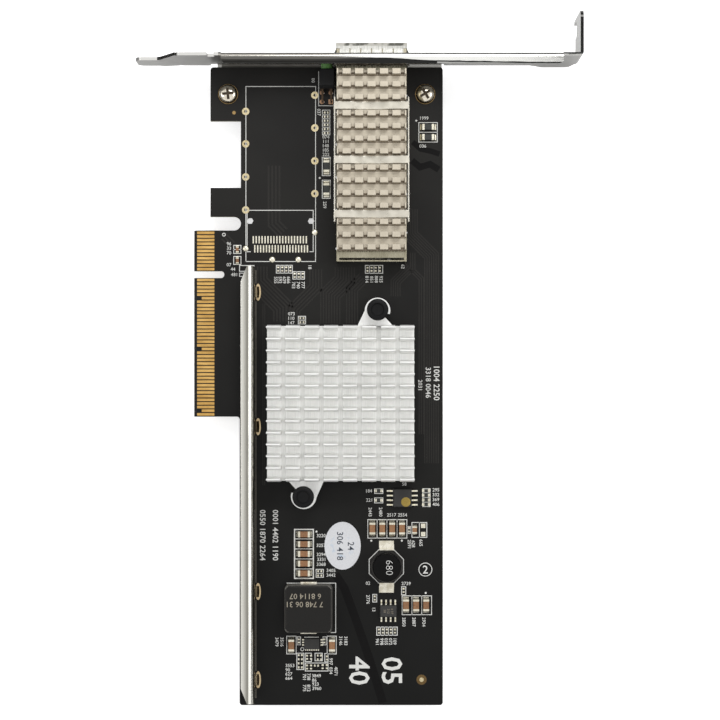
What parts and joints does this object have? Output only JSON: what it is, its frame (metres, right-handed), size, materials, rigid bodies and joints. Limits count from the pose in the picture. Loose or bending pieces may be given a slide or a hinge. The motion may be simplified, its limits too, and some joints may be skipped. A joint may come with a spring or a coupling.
{
  "type": "network interface card",
  "caption": "Low-profile network interface card on a full-height bracket, with a fitted module port, cross-cut heatsinks and a stiffener rail.",
  "frame": {"origin": "middle of the key notch on the finger edge, half way through the board", "axes": "+X from the fingers to the free long edge, +Y towards the bracket, +Z out of the component side"},
  "size_m": [0.1212, 0.1891, 0.0216],
  "materials": {
    "solder_mask": "semi-gloss black solder mask over glass epoxy",
    "gold": "polished gold plate",
    "bracket_steel": "nickel plated satin steel",
    "screw_steel": "bright nickel",
    "cage_nickel": "warm satin nickel",
    "collar_spring": "satin spring steel",
    "connector_black": "matte moulded plastic",
    "rider_nickel": "warm satin nickel plate",
    "clip_steel": "pale satin stainless",
    "led_black": "matte moulded plastic",
    "led_green": "clear green plastic",
    "solder": "bright tinned pads",
    "chip_black": "matte moulded package",
    "pad_grey": "soft grey pad",
    "heatsink_aluminium": "bright milled aluminium",
    "pin_black": "matte nylon",
    "rail_steel": "bright tinned steel",
    "ferrite": "matte pressed ferrite",
    "ferrite_dark": "matte pressed ferrite",
    "copper": "enamelled copper",
    "drum_plastic": "dark moulded base",
    "capacitor_brown": "matte brown ceramic",
    "resistor_black": "dark film on ceramic",
    "label_paper": "white coated paper"
  },
  "bodies": {
    "root": {"circuit_board": "solder_mask", "edge_fingers": "gold", "bracket": "bracket_steel", "bracket_screws": "screw_steel", "port_cage": "cage_nickel", "cage_collar": "collar_spring", "port_connector": "connector_black", "port_contacts": "gold", "port_heatsink": "rider_nickel", "heatsink_clip": "clip_steel", "led_housing": "led_black", "led_lens": "led_green", "led_leads": "solder", "controller_chip": "chip_black", "thermal_pad": "pad_grey", "main_heatsink": "heatsink_aluminium", "push_pins": "pin_black", "push_pin_springs": "clip_steel", "stiffener_rail": "rail_steel", "power_choke": "ferrite", "choke_terminals": "solder", "drum_core": "ferrite_dark", "drum_winding": "copper", "drum_base": "drum_plastic", "drum_terminals": "solder", "flash_chip": "chip_black", "flash_leads": "solder", "regulator_chip": "chip_black", "regulator_leads": "solder", "driver_chip": "chip_black", "capacitors": "capacitor_brown", "capacitor_ends": "solder", "resistors": "resistor_black", "resistor_ends": "solder", "inspection_label": "label_paper"}
  },
  "joints": []
}
